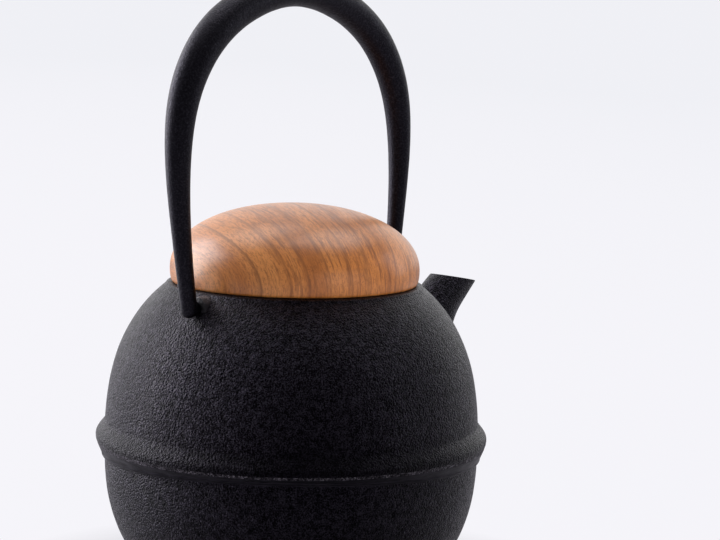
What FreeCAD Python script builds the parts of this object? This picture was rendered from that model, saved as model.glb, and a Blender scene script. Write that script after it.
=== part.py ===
"""Cast-iron teapot: ribbed round body, side spout, tapered swing handle, wooden dome lid, steel strainer.

Origin: centre of the flat base. +Z is up, +X points to the spout, and the handle turns about an axis along X.
"""
import FreeCAD, Part
import math
import os
from FreeCAD import Vector

# --- levels, mm above the table -------------------------------------------------------------------------
SEAM_Z = 126.0            # flat top of the pot's mouth, where the lid's edge lies
RIB_Z = 64.5              # level of the rib's crest
UPPER_Z = 61.0            # level where the shoulder's curve is widest
LOWER_Z = 58.0            # level where the lower bowl is widest
FLOOR_Z = 5.5             # inside bottom of the pot

# --- pot body -------------------------------------------------------------------------------------------
UPPER_RADIUS = 75.2       # widest radius above the rib
UPPER_HEIGHT = 78.0       # semi-height of the upper curve
UPPER_POWER = 2.5
LOWER_RADIUS = 75.0
LOWER_HEIGHT = 67.0
LOWER_POWER = 2.36
WALL = 4.6
RIB_RADIUS = 78.7         # crest of the rib
RIB_ROUND = 1.6           # radius of the crest's rounding
RIB_FLARE = 6.4           # height of the rib's upper slope
LIP_RADIUS = 76.2         # lower edge of the rib
LIP_DROP = 6.1            # crest to lower edge
LIP_STEP = 0.9
FOOT_RADIUS = 44.5        # flat disc the pot stands on
FOOT_BEVEL = 1.2          # height of the flat's eased edge

# --- mouth ----------------------------------------------------------------------------------------------
MOUTH_RADIUS = 40.6       # clear bore
LEDGE_RADIUS = 45.8       # recess that holds the strainer's flange
LEDGE_DEPTH = 2.0
COLLAR_DEPTH = 13.0       # thick iron round the mouth, for the handle's pin holes
RIM_ROUND = 0.8

# --- handle ---------------------------------------------------------------------------------------------
PIVOT_DROP = 5.4          # pin axis below the mouth's top
FOOT_X = 61.2             # the bar's lower end, from the pot's axis
HANDLE_LINE = [           # bar's centre line, (out from the axis, up from the mouth's top), middle to foot
    (0.0, 116.2),
    (25.0, 111.6),
    (48.6, 98.2),
    (62.8, 77.5),
    (67.0, 53.6),
    (65.9, 29.5),
    (63.0, 6.0),
    (FOOT_X, -PIVOT_DROP),
]
BAR_TOP_RADIUS = 6.65
BAR_FOOT_RADIUS = 3.1
TAPER_START = 0.25        # part of the half length that keeps the full thickness
REAR_FULLER = 0.05        # the rear half of the bar is this much thicker
REAR_ONSET = 0.3          # part of the half length over which it thickens
HANDLE_STATIONS = 8       # sections along each half
HANDLE_LEAN = 1.25        # degrees from upright, towards +Y, at rest
KNUCKLE_PROUD = 0.05      # the ball at each foot stands out of the bar by this
PIN_RADIUS = 2.6
PIN_END_X = 49.6
PIN_GAP = 0.06            # radial clearance of the pin in its hole
HOLE_END_X = 49.0

# --- lugs -----------------------------------------------------------------------------------------------
LUG_RADIUS = 4.8
LUG_INNER_X = 50.6
LUG_OUTER_X = 57.4
LUG_FOOT = 8.0            # how far the lug runs down the shoulder
LUG_FLARE = 1.6           # extra half width at the lug's foot

# --- spout ----------------------------------------------------------------------------------------------
# centre out from the axis, centre below the mouth's top, rise of the bore in degrees, half height, half width
SPOUT_SECTIONS = [
    (60.0, -46.0, 22.0, 18.5, 16.0),
    (75.0, -39.0, 30.0, 15.4, 13.6),
    (86.4, -28.6, 43.0, 12.1, 11.1),
    (94.2, -17.2, 57.0, 10.4, 9.5),
    (105.9, -6.9, 79.0, 11.6, 8.9),
]
SPOUT_BORE = [
    (58.0, -46.5, 22.0, 12.5, 11.0),
    (75.0, -39.0, 30.0, 11.2, 9.8),
    (86.5, -28.5, 43.0, 8.8, 8.0),
    (94.2, -17.2, 57.0, 7.3, 6.7),
    (106.5, -3.9, 79.0, 8.9, 6.6),
]

# --- lid ------------------------------------------------------------------------------------------------
LID_RADIUS = 49.9
LID_GIRTH = 5.5           # widest level above the mouth's top
LID_DOME = 26.0           # dome height above the widest level
LID_POWER = 2.1
LID_GAP = 0.2             # shadow gap between the wood and the iron
LID_EDGE_RADIUS = 49.2    # lower edge of the wood
SEAT_RADIUS = 44.4        # step that rests on the strainer's flange
SPIGOT_RADIUS = 37.8
SPIGOT_BOTTOM = -7.0
SEAL_GROOVE = 1.4
SEAL_HEIGHT = 2.2
SEAL_LEVEL = -4.2
SEAL_BULGE = 38.9
PLATE_RADIUS = 36.0
PLATE_THICK = 0.8
SCREW_CIRCLE = 26.0
SCREW_COUNT = 3
SCREW_HEAD_RADIUS = 3.0
SCREW_HEAD_HEIGHT = 1.5
SCREW_SHANK_RADIUS = 1.4
SCREW_LENGTH = 10.0
SCREW_SLOT = 0.7

# --- strainer -------------------------------------------------------------------------------------------
FLANGE_RADIUS = 45.3
FLANGE_THICK = 0.8
SLEEVE_OUTER = 40.0       # outside of the sleeve that hangs from the flange
SHEET = 0.5
SLEEVE_DEPTH = 9.0
BASKET_DEPTH = 66.0
BAND_HEIGHT = 4.0
FLOOR_SHEET = 0.6

PIVOT_Z = SEAM_Z - PIVOT_DROP
LEDGE_Z = SEAM_Z - LEDGE_DEPTH
BASKET_Z = LEDGE_Z - BASKET_DEPTH
CURVE_POINTS = 9          # points that define one stretch of a superellipse


def superellipse_radius(z, centre, radius, height, power):
    """Radius at level z of a superellipse of the given half width and half height."""
    return radius * (1.0 - (abs(z - centre) / height) ** power) ** (1.0 / power)


def curve(points):
    """Arcs through an odd number of (radius, level) points in the XZ plane, three to an arc."""
    ends = [Vector(r, 0.0, z) for r, z in points]
    return [Part.Arc(a, b, c).toShape() for a, b, c in zip(ends[::2], ends[1::2], ends[2::2])]


def lines(points):
    """Straight edges through (radius, level) points in the XZ plane."""
    ends = [Vector(r, 0.0, z) for r, z in points]
    return [Part.makeLine(a, b) for a, b in zip(ends, ends[1:])]


def revolve(edges):
    """Solid of revolution about Z of a closed outline in the XZ plane."""
    outline = Part.Wire(Part.__sortEdges__(edges))
    solid = Part.Face(outline).revolve(Vector(0, 0, 0), Vector(0, 0, 1), 360)
    return Part.Solid(solid) if solid.ShapeType == "Shell" else solid


def turned(points):
    """Solid of revolution of a closed polygon of (radius, level) points."""
    return revolve(lines(points + points[:1]))


def upper_radius(z, inset=0.0):
    """Outside radius of the shoulder at level z, or of a surface set in from it."""
    return superellipse_radius(z, UPPER_Z, UPPER_RADIUS - inset, UPPER_HEIGHT - inset, UPPER_POWER)


def lower_radius(z, inset=0.0):
    """Outside radius of the bowl below the rib at level z, or of a surface set in from it."""
    return superellipse_radius(z, LOWER_Z, LOWER_RADIUS - inset, LOWER_HEIGHT - inset, LOWER_POWER)


def stretch(radius_at, z_from, z_to, inset=0.0):
    """Points on one stretch of the body's outline, evenly spaced by level."""
    step = (z_to - z_from) / (CURVE_POINTS - 1)
    levels = [z_from + step * i for i in range(CURVE_POINTS)]
    return [(radius_at(z, inset), z) for z in levels]


def body_outside():
    """Full solid of the pot's outer surface, with its rib, flat mouth and flat foot."""
    mouth_edge = upper_radius(SEAM_Z)
    rib_top = RIB_Z + RIB_FLARE
    lip_z = RIB_Z - LIP_DROP
    shoulder = stretch(upper_radius, SEAM_Z - RIM_ROUND, rib_top)
    bowl = stretch(lower_radius, lip_z - LIP_STEP, FOOT_BEVEL)
    crest = Part.Arc(
        Vector(RIB_RADIUS - RIB_ROUND * 0.5, 0, RIB_Z + RIB_ROUND),
        Vector(RIB_RADIUS, 0, RIB_Z),
        Vector(RIB_RADIUS - RIB_ROUND * 0.3, 0, RIB_Z - RIB_ROUND),
    ).toShape()
    edges = lines([(0.0, SEAM_Z), (mouth_edge - RIM_ROUND, SEAM_Z), shoulder[0]])
    edges += curve(shoulder)
    edges += lines([shoulder[-1], (RIB_RADIUS - RIB_ROUND * 0.5, RIB_Z + RIB_ROUND)])
    edges.append(crest)
    edges += lines([(RIB_RADIUS - RIB_ROUND * 0.3, RIB_Z - RIB_ROUND), (LIP_RADIUS, lip_z), bowl[0]])
    edges += curve(bowl)
    edges += lines([bowl[-1], (FOOT_RADIUS, 0.0), (0.0, 0.0), (0.0, SEAM_Z)])
    return revolve(edges)


def body_inside():
    """The pot's hollow: bowl, shoulder, and a straight bore with the strainer's ledge at the mouth."""
    collar_z = SEAM_Z - COLLAR_DEPTH
    shoulder = stretch(upper_radius, collar_z, RIB_Z, WALL)
    bowl = stretch(lower_radius, RIB_Z - WALL, FLOOR_Z + WALL, WALL)
    edges = lines([(0.0, SEAM_Z), (LEDGE_RADIUS, SEAM_Z), (LEDGE_RADIUS, LEDGE_Z), (MOUTH_RADIUS, LEDGE_Z),
                   (MOUTH_RADIUS, collar_z), shoulder[0]])
    edges += curve(shoulder)
    edges += lines([shoulder[-1], bowl[0]])
    edges += curve(bowl)
    edges += lines([bowl[-1], (bowl[-1][0] - WALL, FLOOR_Z), (0.0, FLOOR_Z), (0.0, SEAM_Z)])
    return revolve(edges)


def oval(x, z, rise, half_height, half_width):
    """Oval section of the spout, facing outward and up by the rise angle."""
    angle = math.radians(rise)
    facing = Vector(math.cos(angle), 0, math.sin(angle))
    up = Vector(-math.sin(angle), 0, math.cos(angle))
    centre = Vector(x, 0, SEAM_Z + z)
    ellipse = Part.Ellipse(centre + up * half_height, centre + facing.cross(up) * half_width, centre)
    return Part.Wire([ellipse.toShape()])


def tube(sections):
    """Solid lofted through the spout's oval sections."""
    return Part.makeLoft([oval(*section) for section in sections], True, False)


def pin_hole(side):
    """Room for one handle pin, through the lug and blind into the mouth's collar."""
    start = Vector(side * HOLE_END_X, 0, PIVOT_Z)
    return Part.makeCylinder(PIN_RADIUS + PIN_GAP, FOOT_X - HOLE_END_X, start, Vector(side, 0, 0))


def lug(side, outside):
    """Cast boss on the shoulder that one end of the handle turns in."""
    length = LUG_OUTER_X - LUG_INNER_X
    start = Vector(side * LUG_INNER_X, 0, PIVOT_Z)
    barrel = Part.makeCylinder(LUG_RADIUS, length, start, Vector(side, 0, 0))
    half_foot = LUG_RADIUS + LUG_FLARE
    corners = [(-LUG_RADIUS, 0.0), (LUG_RADIUS, 0.0), (half_foot, -LUG_FOOT), (-half_foot, -LUG_FOOT)]
    points = [start + Vector(0, y, z) for y, z in corners]
    web = Part.Face(Part.makePolygon(points + points[:1])).extrude(Vector(side * length, 0, 0))
    return barrel.fuse(web).removeSplitter().cut(outside).cut(pin_hole(side))


def handle_path():
    """The handle's centre line from foot to foot."""
    half = [Vector(x, 0, SEAM_Z + z) for x, z in HANDLE_LINE]
    mirrored = [Vector(-p.x, 0, p.z) for p in half[1:]]
    path = Part.BSplineCurve()
    path.interpolate(mirrored[::-1] + half)
    return path


def bar_radius(share):
    """Bar radius at a share of the half length: -1 at the rear foot, 0 at the middle, 1 at the front foot."""
    fall = max(0.0, (abs(share) - TAPER_START) / (1.0 - TAPER_START))
    radius = BAR_TOP_RADIUS - (BAR_TOP_RADIUS - BAR_FOOT_RADIUS) * (1.0 - math.cos(math.pi * fall)) / 2.0
    return radius * (1.0 + REAR_FULLER * min(1.0, max(0.0, -share / REAR_ONSET)))


def handle():
    """One forged round bar, thick at the grip, with its ends turned in as pins."""
    path = handle_path()
    length = path.length()
    rings = []
    for i in range(-HANDLE_STATIONS, HANDLE_STATIONS + 1):
        share = i / HANDLE_STATIONS
        at = path.parameterAtDistance(length * (share + 1.0) / 2.0, path.FirstParameter)
        rings.append(Part.Wire([Part.Circle(path.value(at), path.tangent(at)[0], bar_radius(share)).toShape()]))
    bar = Part.makeLoft(rings, True, False)
    for side in (-1, 1):
        foot = Vector(side * FOOT_X, 0, PIVOT_Z)
        knuckle = Part.makeSphere(bar_radius(side) + KNUCKLE_PROUD, foot)
        pin = Part.makeCylinder(PIN_RADIUS, FOOT_X - PIN_END_X, foot, Vector(-side, 0, 0))
        bar = bar.fuse(knuckle.fuse(pin))
    bar.rotate(Vector(0, 0, PIVOT_Z), Vector(1, 0, 0), -HANDLE_LEAN)
    return bar


def screw_places():
    """Centres of the lid's screws on the face of the steel plate."""
    turns = [2.0 * math.pi * i / SCREW_COUNT for i in range(SCREW_COUNT)]
    return [(SCREW_CIRCLE * math.cos(t), SCREW_CIRCLE * math.sin(t)) for t in turns]


def screw(x, y):
    """Pan-head wood screw driven up into the lid, with a cross slot in its head."""
    face = SEAM_Z + SPIGOT_BOTTOM - PLATE_THICK
    head = Part.makeCylinder(SCREW_HEAD_RADIUS, SCREW_HEAD_HEIGHT, Vector(x, y, face - SCREW_HEAD_HEIGHT))
    shank = Part.makeCylinder(SCREW_SHANK_RADIUS, SCREW_LENGTH, Vector(x, y, face))
    slot_length = 1.3 * SCREW_HEAD_RADIUS
    slot = Part.makeBox(slot_length, SCREW_SLOT, SCREW_SLOT,
                        Vector(x - slot_length / 2, y - SCREW_SLOT / 2, face - SCREW_HEAD_HEIGHT))
    cross = slot.copy()
    cross.rotate(Vector(x, y, 0), Vector(0, 0, 1), 90)
    rounded = head.makeFillet(SCREW_HEAD_HEIGHT / 2, [head.Edges[2]])
    return rounded.cut(slot).cut(cross).fuse(shank)


def screw_holes():
    """The screws' shanks, to be cut from what they pass through."""
    face = SEAM_Z + SPIGOT_BOTTOM - PLATE_THICK
    holes = [Part.makeCylinder(SCREW_SHANK_RADIUS, SCREW_LENGTH, Vector(x, y, face)) for x, y in screw_places()]
    return Part.makeCompound(holes)


def lid_dome():
    """Turned wooden lid: a dome rounded in at its edge, a seat step and a spigot with a seal groove."""
    girth = SEAM_Z + LID_GIRTH
    bottom = SEAM_Z + LID_GAP
    spigot = SEAM_Z + SPIGOT_BOTTOM
    seat = LEDGE_Z + FLANGE_THICK
    quarter = [math.pi / 2 * i / (CURVE_POINTS - 1) for i in range(CURVE_POINTS)]
    dome = [(LID_RADIUS * math.sin(t) ** (2 / LID_POWER), girth + LID_DOME * math.cos(t) ** (2 / LID_POWER))
            for t in quarter]
    dome[-1] = (LID_RADIUS, girth)
    under = Part.Arc(Vector(LID_RADIUS, 0, girth), Vector(LID_RADIUS - 0.15, 0, (girth + bottom) / 2),
                     Vector(LID_EDGE_RADIUS, 0, bottom)).toShape()
    groove_top = SEAM_Z + SEAL_LEVEL + SEAL_HEIGHT / 2
    groove_bottom = groove_top - SEAL_HEIGHT
    groove = SPIGOT_RADIUS - SEAL_GROOVE
    edges = curve(dome) + [under]
    edges += lines([(LID_EDGE_RADIUS, bottom), (SEAT_RADIUS, bottom), (SEAT_RADIUS, seat), (SPIGOT_RADIUS, seat),
                    (SPIGOT_RADIUS, groove_top), (groove, groove_top), (groove, groove_bottom),
                    (SPIGOT_RADIUS, groove_bottom), (SPIGOT_RADIUS, spigot), (0.0, spigot),
                    (0.0, girth + LID_DOME)])
    return revolve(edges).cut(screw_holes())


def lid_seal():
    """Silicone ring in the lid's groove, rounded outward."""
    top = SEAM_Z + SEAL_LEVEL + SEAL_HEIGHT / 2
    bottom = top - SEAL_HEIGHT
    groove = SPIGOT_RADIUS - SEAL_GROOVE
    bulge = Part.Arc(Vector(SPIGOT_RADIUS, 0, bottom), Vector(SEAL_BULGE, 0, (top + bottom) / 2),
                     Vector(SPIGOT_RADIUS, 0, top)).toShape()
    return revolve(lines([(SPIGOT_RADIUS, top), (groove, top), (groove, bottom), (SPIGOT_RADIUS, bottom)]) + [bulge])


def lid_plate():
    """Steel disc that shields the wood from steam."""
    face = SEAM_Z + SPIGOT_BOTTOM
    disc = Part.makeCylinder(PLATE_RADIUS, PLATE_THICK, Vector(0, 0, face - PLATE_THICK))
    return disc.cut(screw_holes())


def strainer_rim():
    """Flange that lies on the pot's ledge, with a short sleeve the basket hangs from."""
    top = LEDGE_Z + FLANGE_THICK
    bore = SLEEVE_OUTER - SHEET
    return turned([(bore, top), (FLANGE_RADIUS, top), (FLANGE_RADIUS, LEDGE_Z), (SLEEVE_OUTER, LEDGE_Z),
                   (SLEEVE_OUTER, LEDGE_Z - SLEEVE_DEPTH), (bore, LEDGE_Z - SLEEVE_DEPTH)])


def strainer_wall():
    """Sheet cylinder inside the sleeve, down to the floor. Its small holes are left out."""
    outer = SLEEVE_OUTER - SHEET
    top = LEDGE_Z - SLEEVE_DEPTH / 2
    return turned([(outer - SHEET, top), (outer, top), (outer, BASKET_Z), (outer - SHEET, BASKET_Z)])


def strainer_floor():
    """Disc closing the basket. Its small holes are left out."""
    return Part.makeCylinder(SLEEVE_OUTER - 2 * SHEET, FLOOR_SHEET, Vector(0, 0, BASKET_Z))


def strainer_band():
    """Ring crimped round the basket's lower edge."""
    outer = SLEEVE_OUTER
    inner = SLEEVE_OUTER - SHEET
    return turned([(inner, BASKET_Z + BAND_HEIGHT), (outer, BASKET_Z + BAND_HEIGHT), (outer, BASKET_Z - SHEET),
                   (inner - 3 * SHEET, BASKET_Z - SHEET), (inner - 3 * SHEET, BASKET_Z), (inner, BASKET_Z)])


def build():
    """All the nodes by name."""
    outside = body_outside()
    bore = tube(SPOUT_BORE)
    body = outside.cut(body_inside()).cut(bore)
    for side in (-1, 1):
        body = body.cut(pin_hole(side))
    return {
        "pot_body": body,
        "spout": tube(SPOUT_SECTIONS).cut(outside).cut(bore),
        "lug_rear": lug(-1, outside),
        "lug_front": lug(1, outside),
        "handle": handle(),
        "lid_dome": lid_dome(),
        "lid_seal": lid_seal(),
        "lid_plate": lid_plate(),
        "lid_screws": Part.makeCompound([screw(x, y) for x, y in screw_places()]),
        "strainer_rim": strainer_rim(),
        "strainer_wall": strainer_wall(),
        "strainer_floor": strainer_floor(),
        "strainer_band": strainer_band(),
    }


os.makedirs("parts", exist_ok=True)
for name, shape in build().items():
    box = shape.BoundBox
    print(name, "solids", len(shape.Solids), "valid", shape.isValid(), "cm3", round(shape.Volume / 1000, 2),
          "z", round(box.ZMin, 2), round(box.ZMax, 2), "x", round(box.XMin, 2), round(box.XMax, 2))
    shape.exportStep("parts/" + name + ".step")
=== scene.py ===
"""Looks of a cast-iron teapot with a wooden lid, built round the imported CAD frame."""
import collections
import itertools
import math

import bmesh
import bpy
import numpy as np
from mathutils import Matrix, Vector, noise


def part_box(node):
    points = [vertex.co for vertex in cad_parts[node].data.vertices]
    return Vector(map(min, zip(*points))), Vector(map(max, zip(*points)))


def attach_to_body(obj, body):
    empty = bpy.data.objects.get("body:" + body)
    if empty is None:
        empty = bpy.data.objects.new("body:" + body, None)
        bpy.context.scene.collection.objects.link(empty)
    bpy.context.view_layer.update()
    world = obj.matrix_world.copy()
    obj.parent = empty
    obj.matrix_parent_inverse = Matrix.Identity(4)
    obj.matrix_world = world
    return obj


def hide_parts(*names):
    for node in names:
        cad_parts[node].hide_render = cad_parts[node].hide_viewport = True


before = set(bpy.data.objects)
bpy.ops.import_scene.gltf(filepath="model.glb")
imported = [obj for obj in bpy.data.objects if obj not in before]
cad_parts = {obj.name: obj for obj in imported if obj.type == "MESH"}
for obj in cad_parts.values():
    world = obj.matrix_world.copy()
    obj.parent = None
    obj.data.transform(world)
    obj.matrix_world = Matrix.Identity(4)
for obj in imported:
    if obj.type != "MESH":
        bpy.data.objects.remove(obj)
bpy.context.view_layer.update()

MM = 0.001
POT_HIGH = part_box("pot_body")[1]
LID_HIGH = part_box("lid_dome")[1]
SEAM = POT_HIGH[2]                  # flat top of the pot's mouth
CREST_RADIUS = POT_HIGH[0]          # the rib at its widest

# --- pot, metres ----------------------------------------------------------------------------------------
UPPER_Z, UPPER_RADIUS, UPPER_HEIGHT, UPPER_POWER = 61.0 * MM, 75.2 * MM, 78.0 * MM, 2.5
LOWER_Z, LOWER_RADIUS, LOWER_HEIGHT, LOWER_POWER = 58.0 * MM, 75.0 * MM, 67.0 * MM, 2.36
WALL = 4.6 * MM
RIB_Z = 64.5 * MM
RIB_TOP = RIB_Z + 6.4 * MM
RIB_ROUND = 1.5                     # how full the curve from the shoulder to the crest is
BAND_Z = RIB_Z - 2.1 * MM           # where the rib's rough crest ends and its smooth band starts
LIP_Z = RIB_Z - 6.1 * MM
LIP_RADIUS = 76.2 * MM
LIP_STEP = 0.9 * MM
LIP_SWING = 1.8 * MM                # the lip's level swings this much up and down, twice round the pot
LIP_BEARING = -141.0                # degrees from +X; here and opposite the lip is highest
LIP_RIPPLE, LIP_RIPPLE_SIZE = 0.5 * MM, 8.0 * MM
LIP_FADE = 9.0 * MM                 # below the lip the swing dies out over this height
COLLAR_Z = SEAM - 13.0 * MM
LEDGE_Z = SEAM - 2.0 * MM
LEDGE_RADIUS = 45.8 * MM
MOUTH_RADIUS = 40.6 * MM
FLOOR_Z = 5.5 * MM
FOOT_RADIUS, FOOT_BEVEL = 44.5 * MM, 1.2 * MM
FACES_UP = 0.9                      # where the skin's normal rises more than this, its level stays
TURNS = 400                         # sections round the pot
DIMPLE_SIZE, DIMPLE_DEPTH = 3.4 * MM, 0.06 * MM
SWELL_SIZE, SWELL_DEPTH = 15.0 * MM, 0.2 * MM
RAGGED_SIZE, RAGGED_DEPTH, RAGGED_REACH = 2.2 * MM, 0.8 * MM, 0.5 * MM      # uneven edge over the band
# shares of the skin's relief that the stretches of the outline keep; RIM, BAND and the rib's edge also tell
# them apart, and the edge gets a painted highlight
SKIN, BOWL_SKIN, INNER_SKIN, RIM_SKIN, BAND_SKIN, HIGHLIGHT_EDGE_SKIN = 1.0, 0.9, 0.1, 0.3, 0.05, 0.6

# --- handle ---------------------------------------------------------------------------------------------
PIVOT_Z = SEAM - 5.4 * MM
FOOT_X = 61.2 * MM
HANDLE_LINE = [(0.0, 116.2), (25.0, 111.6), (48.6, 98.2), (62.8, 77.5),        # mm out from the middle and
               (67.0, 53.6), (65.9, 29.5), (63.0, 6.0), (61.2, -5.4)]           # above the seam
BAR_TOP, BAR_FOOT = 6.65 * MM, 3.1 * MM
TAPER_START = 0.25
REAR_FULLER, REAR_ONSET = 0.05, 0.3 # the rear half is thicker by this, fully so past this share of it
HANDLE_LEAN = 1.25                  # degrees from upright at rest
PIN_RADIUS, PIN_END_X = 2.6 * MM, 49.6 * MM
FORGE_SIZE, FORGE_DEPTH = 4.0 * MM, 0.05 * MM
PEEN_SIZE, PEEN_DEPTH = 1.3 * MM, 0.04 * MM

# --- lugs -----------------------------------------------------------------------------------------------
LUG_RADIUS, LUG_INNER, LUG_OUTER = 4.8 * MM, 50.7 * MM, 57.4 * MM
LUG_DROP, LUG_FLARE = 9.0 * MM, 2.0 * MM            # how far the web goes down, and how much wider it gets
LUG_TIP_Z = PIVOT_Z + 2.2 * MM                      # the lugs are painted pale above this, a painted highlight on their tops
LUG_VOXEL = 0.3 * MM
LUG_GRIT_SIZE, LUG_GRIT_DEPTH = 1.6 * MM, 0.25 * MM
PIN_GAP, CUTTER_REACH = 0.1 * MM, 3 * MM            # round the pin, and past the lug's faces

# --- spout: sections of (mm out, mm above the seam, rise in degrees, half height, half width) ------------
SPOUT_OUTER = [(60.0, -46.0, 22.0, 18.5, 16.0), (75.0, -39.0, 30.0, 15.4, 13.6),
               (86.4, -28.6, 43.0, 12.1, 11.1), (94.2, -17.2, 57.0, 10.4, 9.5),
               (105.9, -6.9, 79.0, 11.6, 8.9)]
SPOUT_BORE = [(58.0, -46.5, 22.0, 12.5, 11.0), (75.0, -39.0, 30.0, 11.2, 9.8),
              (86.4, -28.6, 43.0, 8.8, 8.0), (94.2, -17.2, 57.0, 7.3, 6.7),
              (105.9, -6.9, 79.0, 8.7, 6.5)]
ROOT_DEPTH = 1.2 * MM               # the spout's skin starts this deep inside the pot's wall
FILLET, FILLET_REACH, FILLET_POWER = 4.2, 0.75, 2.4     # mm, sections along the spout, how fast it fades
LIP_ROUND = (-0.15, -0.8)           # mm that the lip's two rounding rings draw in
LIP_BORE_FLARE = 0.7                # mm that the bore widens at the lip
LIP_SETBACK, BORE_SETBACK = 0.04, 0.06      # sections before the lip where its rounding starts
BORE_CUT = 1.6                      # sections along the bore that are cut through the pot's wall
ROOT_SEARCH, ROOT_STEPS = 3.0, 30   # sections along the spout, and halvings, in the search for its root

# --- lid ------------------------------------------------------------------------------------------------
LID_GIRTH = SEAM + 5.5 * MM         # where the dome is widest
LID_BOTTOM = SEAM + 0.2 * MM
LID_EDGE = 49.2 * MM
LID_POWER = 2.1
LID_TUCK, TUCK_START, TUCK_END = 2.2, 0.04, 0.93    # how the lower edge draws in
SEAT_RADIUS, SPIGOT_RADIUS = 44.4 * MM, 37.8 * MM
SEAT_Z = LEDGE_Z + 0.86 * MM
SPIGOT_Z = SEAM - 7.0 * MM
GROOVE_TOP, GROOVE_LOW, GROOVE_RADIUS = SEAM - 3.1 * MM, SEAM - 5.3 * MM, SPIGOT_RADIUS - 1.4 * MM
LID_TURNS, DOME_ROWS = 256, 110

# --- strainer -------------------------------------------------------------------------------------------
SLEEVE = 40.0 * MM
SHEET = 0.5 * MM
WALL_TOP, WALL_LOW = LEDGE_Z - 4.5 * MM, LEDGE_Z - 66.0 * MM
WALL_COLUMNS, WALL_ROWS, WALL_MARGIN = 96, 22, 5.0 * MM
FLOOR_PITCH, FLOOR_REACH, FLOOR_FIELD = 2.6 * MM, 13, 33.0 * MM     # cell, cells to each side, holes' circle
FLOOR_EDGE = SLEEVE - SHEET * 2.2
FLOOR_LIFT = 0.3 * MM
WALL_HOLE, FLOOR_HOLE = 0.56, 0.55  # a hole's width as a share of its cell
VISUAL_SHEET = SHEET * 0.9
COLUMN_STEPS, MICRONS = 64, 1000    # vertices are told apart to this part of a column, and of a mm

DIMPLE_SEED, SWELL_SEED, RIPPLE_SEED, RAGGED_SEED, FORGE_SEED, PEEN_SEED, LUG_SEED = 3, 7, 11, 17, 5, 9, 15

# --- camera ---------------------------------------------------------------------------------------------
VIEW_AZIMUTH, VIEW_PITCH, VIEW_ROLL = -51.0, 7.16, 1.35
VIEW_DISTANCE = 0.92
VIEW_SIDE = 26.05 * MM              # the picture's centre lies this far right of the pot's axis
VIEW_LEVEL = SEAM + 5.5 * MM
LENS, SENSOR = 115.0, 36.0
CLIP = (0.01, 50.0)

# --- light ----------------------------------------------------------------------------------------------
PAPER_NEAR, PAPER_FAR = (0.92, 0.912, 0.955), (0.868, 0.872, 0.915)
SHADOW_REACH, SHADOW_DEPTH = 0.07, 0.2     # the soft shadow where the pot stands on the paper
ROOM_COLOUR, ROOM_LIGHT = (0.95, 0.95, 1.0), 0.2
LIGHTS = [                          # name, (right, away, up) from the pot, size, watts, colour, mirrored
    ("soft_left", (-1.0, 0.4, 0.45), (0.9, 1.2), 20.0, (0.97, 0.96, 1.0), True),
    ("soft_right", (1.1, 0.5, 0.5), (0.5, 0.8), 2.1, (0.93, 0.95, 1.0), True),
    ("soft_top", (0.0, 0.5, 1.5), (1.6, 1.0), 12.5, (1.0, 1.0, 1.0), True),
    ("wall_behind", (0.0, 2.6, 1.0), (5.0, 2.2), 36.0, (1.0, 1.0, 1.0), True),
    ("fill_front", (0.9, -0.9, 0.2), (1.0, 0.8), 11.5, (1.0, 0.98, 0.95), False),
]

PAPER_DEPTH, PAPER_SIDE = (0.5, 6.0), (-0.2, 0.6)   # metres away and to the right where its shade changes
SIDE_SHARE = 0.3                    # of the change is to the right
SWEEP_HALF = 8.0                    # the paper reaches this far from the pot, metres
SWEEP_DIFFUSE, SWEEP_ROUGHNESS, SWEEP_SPECULAR = (0.42, 0.41, 0.44, 1), 0.9, 0.1    # what the pot sees of it
AIM_HEIGHT = 0.12                   # the lamps point here

# --- finishes: noise scales in features per metre, linear colours, stops of (noise, colour) ---------------
IRON_GRAINS, IRON_SAND, IRON_CLUMPS, IRON_DRIFT = 1150.0, 1900.0, 400.0, 40.0
SAND_SHARE = 0.72                   # of the glints' pattern; the clumps have the rest
IRON_TINTS = [(0.3, (0.002, 0.0017, 0.0026)), (0.55, (0.003, 0.0025, 0.0038)),
              (0.8, (0.0045, 0.0037, 0.0055))]
IRON_GLINT = (0.035, 0.031, 0.0425)
CREST_GLINT_UNDER_PAINTED_SHADE, CREST_FADE = 0.4, 3.0 * MM     # painted shade: the rib's crest keeps this share of the glints, to take down the highlight the lamps put on it
# painted highlight: pale patches over small pits, on the rib's lower edge and on the lugs' tops
HIGHLIGHT_PITS, HIGHLIGHT_PATCHES, HIGHLIGHT_FADE = 1500.0, 260.0, 2.0 * MM
HIGHLIGHT_BASE_COLOUR, PAINTED_HIGHLIGHT_COLOUR = (0.008, 0.007, 0.0095), (0.19, 0.175, 0.2)
BAND_MARKS, BAND_GRAIN = 300.0, 1600.0
BAND_TINTS = [(0.35, (0.015, 0.0135, 0.018)), (0.7, (0.034, 0.031, 0.04))]
INSIDE_GRAIN, INSIDE_DRIFT = 1100.0, 60.0
INSIDE_TINTS = [(0.35, (0.012, 0.012, 0.014)), (0.7, (0.025, 0.024, 0.024))]
COATING_GRAIN, COATING_SWELL = 1500.0, 320.0
COATING_TINTS = [(0.36, (0.015, 0.0138, 0.0185)), (0.52, (0.022, 0.0205, 0.027)),
                 (0.68, (0.038, 0.0355, 0.045))]
STEEL_BRUSH, STEEL_CLOUD = 500.0, 60.0
STEEL_TINTS = [(0.3, (0.5, 0.5, 0.51)), (0.7, (0.64, 0.64, 0.65))]
SILICONE_BLOOM = 180.0
SILICONE_TINTS = [(0.35, (0.62, 0.61, 0.57)), (0.7, (0.72, 0.71, 0.68))]
SILICONE_DEPTH, SILICONE_SHARE = 1.0 * MM, 0.2      # how far light goes into it, and how much of it does

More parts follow.
